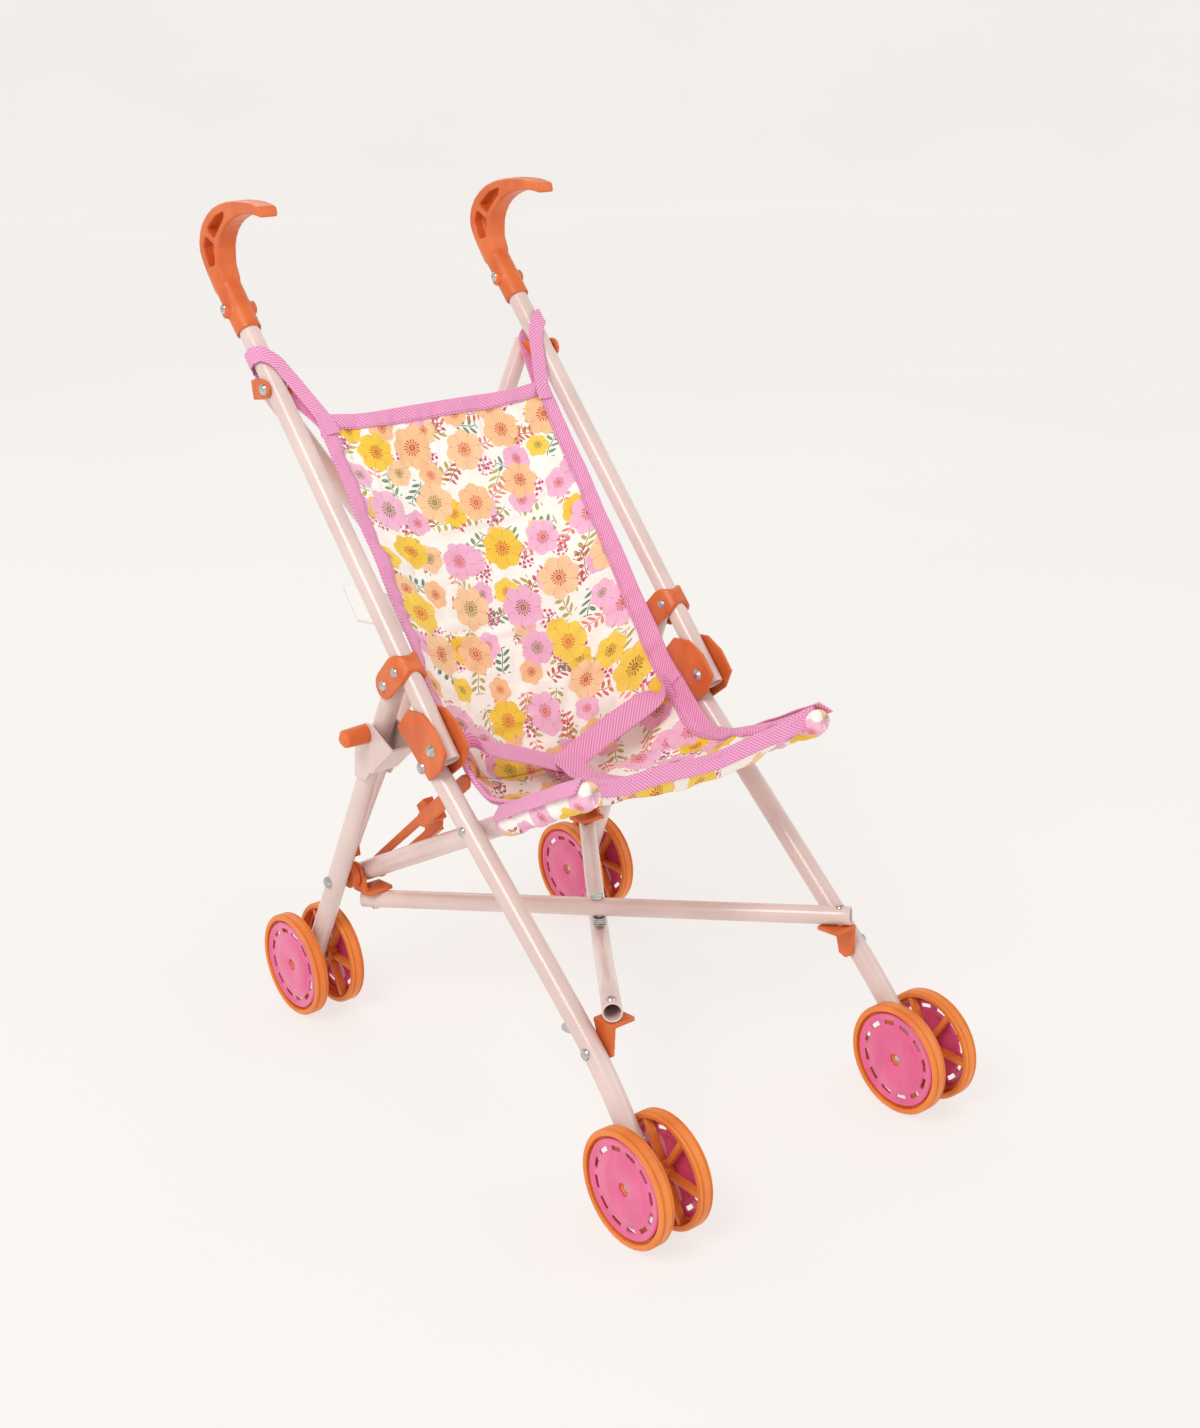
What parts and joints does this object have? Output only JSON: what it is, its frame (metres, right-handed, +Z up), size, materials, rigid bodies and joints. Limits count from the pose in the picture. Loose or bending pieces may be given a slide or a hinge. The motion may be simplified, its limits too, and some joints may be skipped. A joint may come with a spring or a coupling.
{
  "type": "doll stroller",
  "caption": "Folding doll stroller: tube frame on paired wheels, hooked handles, sling seat with a lap belt, and crossed tubes that let it fold.",
  "frame": {"origin": "on the floor under the middle of the overall box", "axes": "+Z up; the doll faces -Y; +X is the doll's left"},
  "size_m": [0.2868, 0.5013, 0.5586],
  "materials": {
    "tube_paint": "gloss",
    "orange_plastic": "satin",
    "disc_pink": "gloss",
    "bright_steel": "polished",
    "printed_fabric": "woven",
    "webbing": "twill"
  },
  "bodies": {
    "push_right": {"push_tube_right": "tube_paint", "handle_right": "orange_plastic", "collar_right": "orange_plastic", "seat_back": "printed_fabric"},
    "front_right": {"front_leg_right": "tube_paint", "elbow_bracket_right": "orange_plastic", "elbow_rivet_right": "bright_steel", "front_axle_right": "bright_steel"},
    "rear_right": {"rear_leg_right": "tube_paint", "rear_rivet_right": "bright_steel", "rear_axle_right": "bright_steel"},
    "rail_right": {"seat_rail_right": "tube_paint", "seat_base": "printed_fabric", "lap_belt": "webbing"},
    "corner_right": {"corner_bracket_right": "orange_plastic"},
    "lug_right": {"rear_lug_right": "orange_plastic"},
    "front_bracket_right": {"front_bracket_right": "orange_plastic"},
    "clip_right": {"top_clip_right": "orange_plastic"},
    "lower_cross_right": {"lower_cross_right": "tube_paint", "cross_spring": "bright_steel", "cross_bolt": "bright_steel"},
    "rear_cross_right": {"rear_cross_right": "tube_paint"},
    "push_left": {"push_tube_left": "tube_paint", "handle_left": "orange_plastic", "collar_left": "orange_plastic"},
    "front_left": {"front_leg_left": "tube_paint", "elbow_bracket_left": "orange_plastic", "elbow_rivet_left": "bright_steel", "front_axle_left": "bright_steel"},
    "rear_left": {"rear_leg_left": "tube_paint", "rear_rivet_left": "bright_steel", "rear_axle_left": "bright_steel"},
    "rail_left": {"seat_rail_left": "tube_paint"},
    "corner_left": {"corner_bracket_left": "orange_plastic"},
    "lug_left": {"rear_lug_left": "orange_plastic"},
    "front_bracket_left": {"front_bracket_left": "orange_plastic"},
    "clip_left": {"top_clip_left": "orange_plastic"},
    "lower_cross_left": {"lower_cross_left": "tube_paint", "cross_nut": "bright_steel"},
    "rear_cross_left": {"rear_cross_left": "tube_paint"},
    "strut": {"lock_strut": "orange_plastic"},
    "latch": {"latch": "tube_paint", "latch_knob": "orange_plastic"},
    "front_wheel_right_outer": {"front_wheel_right_outer": "orange_plastic", "front_disc_right_outer": "disc_pink"},
    "front_wheel_right_inner": {"front_wheel_right_inner": "orange_plastic", "front_disc_right_inner": "disc_pink"},
    "rear_wheel_right_outer": {"rear_wheel_right_outer": "orange_plastic", "rear_disc_right_outer": "disc_pink"},
    "rear_wheel_right_inner": {"rear_wheel_right_inner": "orange_plastic", "rear_disc_right_inner": "disc_pink"},
    "front_wheel_left_outer": {"front_wheel_left_outer": "orange_plastic", "front_disc_left_outer": "disc_pink"},
    "front_wheel_left_inner": {"front_wheel_left_inner": "orange_plastic", "front_disc_left_inner": "disc_pink"},
    "rear_wheel_left_outer": {"rear_wheel_left_outer": "orange_plastic", "rear_disc_left_outer": "disc_pink"},
    "rear_wheel_left_inner": {"rear_wheel_left_inner": "orange_plastic", "rear_disc_left_inner": "disc_pink"}
  },
  "joints": [
    {"name": "fold_right", "type": "hinge", "parent": "push_right", "child": "front_right", "pos_m": [-0.11, -0.01065, 0.244], "axis": [-1, 0, 0], "range_deg": [0, 116]},
    {"name": "rear_fold_right", "type": "hinge", "parent": "push_right", "child": "rear_right", "pos_m": [-0.11, 0.04135, 0.2724], "axis": [-1, 0, 0], "range_deg": [0, 52.02]},
    {"name": "width_slide", "type": "slide", "parent": "push_right", "child": "push_left", "axis": [-1, 0, 0], "range_m": [0, 0.1376], "deforming": ["seat_back", "seat_base", "lap_belt"]},
    {"name": "fold_left", "type": "hinge", "parent": "push_left", "child": "front_left", "pos_m": [0.11, -0.01065, 0.244], "axis": [-1, 0, 0], "range_deg": [0, 116.02]},
    {"name": "rear_fold_left", "type": "hinge", "parent": "push_left", "child": "rear_left", "pos_m": [0.11, 0.04135, 0.2724], "axis": [-1, 0, 0], "range_deg": [0, 52.02]},
    {"name": "rail_turn_right", "type": "hinge", "parent": "rear_right", "child": "rail_right", "pos_m": [-0.0939, 0.11385, 0.109], "axis": [-1, 0, 0], "range_deg": [0, 9.03]},
    {"name": "corner_turn_right", "type": "hinge", "parent": "rear_right", "child": "corner_right", "pos_m": [-0.1033, 0.11385, 0.109], "axis": [-1, 0, 0], "range_deg": [0, 32.99]},
    {"name": "lug_turn_right", "type": "hinge", "parent": "rear_right", "child": "lug_right", "pos_m": [-0.1087, 0.11385, 0.109], "axis": [-1, 0, 0], "range_deg": [-28.58, 0]},
    {"name": "front_bracket_turn_right", "type": "hinge", "parent": "front_right", "child": "front_bracket_right", "pos_m": [-0.1012, -0.15965, 0.096], "axis": [-1, 0, 0], "range_deg": [-31.05, 0]},
    {"name": "clip_turn_right", "type": "hinge", "parent": "push_right", "child": "clip_right", "pos_m": [-0.11, 0.17135, 0.441], "axis": [-1, 0, 0], "range_deg": [0, 23.47]},
    {"name": "lower_cross_turn_right", "type": "hinge", "parent": "corner_right", "child": "lower_cross_right", "pos_m": [-0.0949, 0.10485, 0.0903], "axis": [0, 0.1113, 0.9938], "range_deg": [-26.46, 0]},
    {"name": "rear_cross_turn_right", "type": "hinge", "parent": "clip_right", "child": "rear_cross_right", "pos_m": [-0.105, 0.19332, 0.43719], "axis": [0, 0.9853, -0.1707], "range_deg": [0, 22.28]},
    {"name": "rail_turn_left", "type": "hinge", "parent": "rear_left", "child": "rail_left", "pos_m": [0.0939, 0.11385, 0.109], "axis": [-1, 0, 0], "range_deg": [0, 9.03]},
    {"name": "corner_turn_left", "type": "hinge", "parent": "rear_left", "child": "corner_left", "pos_m": [0.1033, 0.11385, 0.109], "axis": [-1, 0, 0], "range_deg": [0, 32.99]},
    {"name": "lug_turn_left", "type": "hinge", "parent": "rear_left", "child": "lug_left", "pos_m": [0.1087, 0.11385, 0.109], "axis": [-1, 0, 0], "range_deg": [-28.58, 0]},
    {"name": "front_bracket_turn_left", "type": "hinge", "parent": "front_left", "child": "front_bracket_left", "pos_m": [0.1012, -0.15965, 0.096], "axis": [-1, 0, 0], "range_deg": [-31.05, 0]},
    {"name": "clip_turn_left", "type": "hinge", "parent": "push_left", "child": "clip_left", "pos_m": [0.11, 0.17135, 0.441], "axis": [-1, 0, 0], "range_deg": [0, 23.47]},
    {"name": "lower_cross_turn_left", "type": "hinge", "parent": "corner_left", "child": "lower_cross_left", "pos_m": [0.0949, 0.10485, 0.0903], "axis": [0, 0.1113, 0.9938], "range_deg": [0, 26.46]},
    {"name": "rear_cross_turn_left", "type": "hinge", "parent": "clip_left", "child": "rear_cross_left", "pos_m": [0.105, 0.19332, 0.43719], "axis": [0, 0.9853, -0.1707], "range_deg": [-22.28, 0]},
    {"name": "strut_turn", "type": "hinge", "parent": "rear_right", "child": "strut", "pos_m": [-0.082, 0.11385, 0.109], "axis": [-1, 0, 0], "range_deg": [0, 9.03]},
    {"name": "latch_turn", "type": "hinge", "parent": "rear_right", "child": "latch", "pos_m": [-0.1129, 0.06985, 0.208], "axis": [-1, 0, 0], "range_deg": [0, 25.02]},
    {"name": "front_spin_right_outer", "type": "hinge", "parent": "front_right", "child": "front_wheel_right_outer", "pos_m": [-0.1285, -0.21365, 0.037], "axis": [1, 0, 0], "continuous": true},
    {"name": "front_spin_right_inner", "type": "hinge", "parent": "front_right", "child": "front_wheel_right_inner", "pos_m": [-0.0991, -0.21365, 0.037], "axis": [1, 0, 0], "continuous": true},
    {"name": "rear_spin_right_outer", "type": "hinge", "parent": "rear_right", "child": "rear_wheel_right_outer", "pos_m": [-0.1385, 0.14485, 0.037], "axis": [1, 0, 0], "continuous": true},
    {"name": "rear_spin_right_inner", "type": "hinge", "parent": "rear_right", "child": "rear_wheel_right_inner", "pos_m": [-0.1091, 0.14485, 0.037], "axis": [1, 0, 0], "continuous": true},
    {"name": "front_spin_left_outer", "type": "hinge", "parent": "front_left", "child": "front_wheel_left_outer", "pos_m": [0.1285, -0.21365, 0.037], "axis": [1, 0, 0], "continuous": true},
    {"name": "front_spin_left_inner", "type": "hinge", "parent": "front_left", "child": "front_wheel_left_inner", "pos_m": [0.0991, -0.21365, 0.037], "axis": [1, 0, 0], "continuous": true},
    {"name": "rear_spin_left_outer", "type": "hinge", "parent": "rear_left", "child": "rear_wheel_left_outer", "pos_m": [0.1385, 0.14485, 0.037], "axis": [1, 0, 0], "continuous": true},
    {"name": "rear_spin_left_inner", "type": "hinge", "parent": "rear_left", "child": "rear_wheel_left_inner", "pos_m": [0.1091, 0.14485, 0.037], "axis": [1, 0, 0], "continuous": true}
  ],
  "couplings": [
    {"joint": "rear_fold_right", "follows": "fold_right", "ratio": 0.4483},
    {"joint": "width_slide", "follows": "fold_right", "m_per_rad": 0.067915},
    {"joint": "fold_left", "follows": "fold_right", "ratio": 1},
    {"joint": "rear_fold_left", "follows": "fold_right", "ratio": 0.4483},
    {"joint": "rail_turn_right", "follows": "fold_right", "ratio": 0.077646},
    {"joint": "corner_turn_right", "follows": "fold_right", "ratio": 0.28421},
    {"joint": "lug_turn_right", "follows": "fold_right", "ratio": -0.24617},
    {"joint": "front_bracket_turn_right", "follows": "fold_right", "ratio": -0.26748},
    {"joint": "clip_turn_right", "follows": "fold_right", "ratio": 0.20213},
    {"joint": "lower_cross_turn_right", "follows": "fold_right", "ratio": -0.22797},
    {"joint": "rear_cross_turn_right", "follows": "fold_right", "ratio": 0.19187},
    {"joint": "rail_turn_left", "follows": "fold_right", "ratio": 0.077646},
    {"joint": "corner_turn_left", "follows": "fold_right", "ratio": 0.28421},
    {"joint": "lug_turn_left", "follows": "fold_right", "ratio": -0.24617},
    {"joint": "front_bracket_turn_left", "follows": "fold_right", "ratio": -0.26748},
    {"joint": "clip_turn_left", "follows": "fold_right", "ratio": 0.20213},
    {"joint": "lower_cross_turn_left", "follows": "fold_right", "ratio": 0.22797},
    {"joint": "rear_cross_turn_left", "follows": "fold_right", "ratio": -0.19187},
    {"joint": "strut_turn", "follows": "fold_right", "ratio": 0.077646},
    {"joint": "latch_turn", "follows": "fold_right", "ratio": 0.21552}
  ]
}
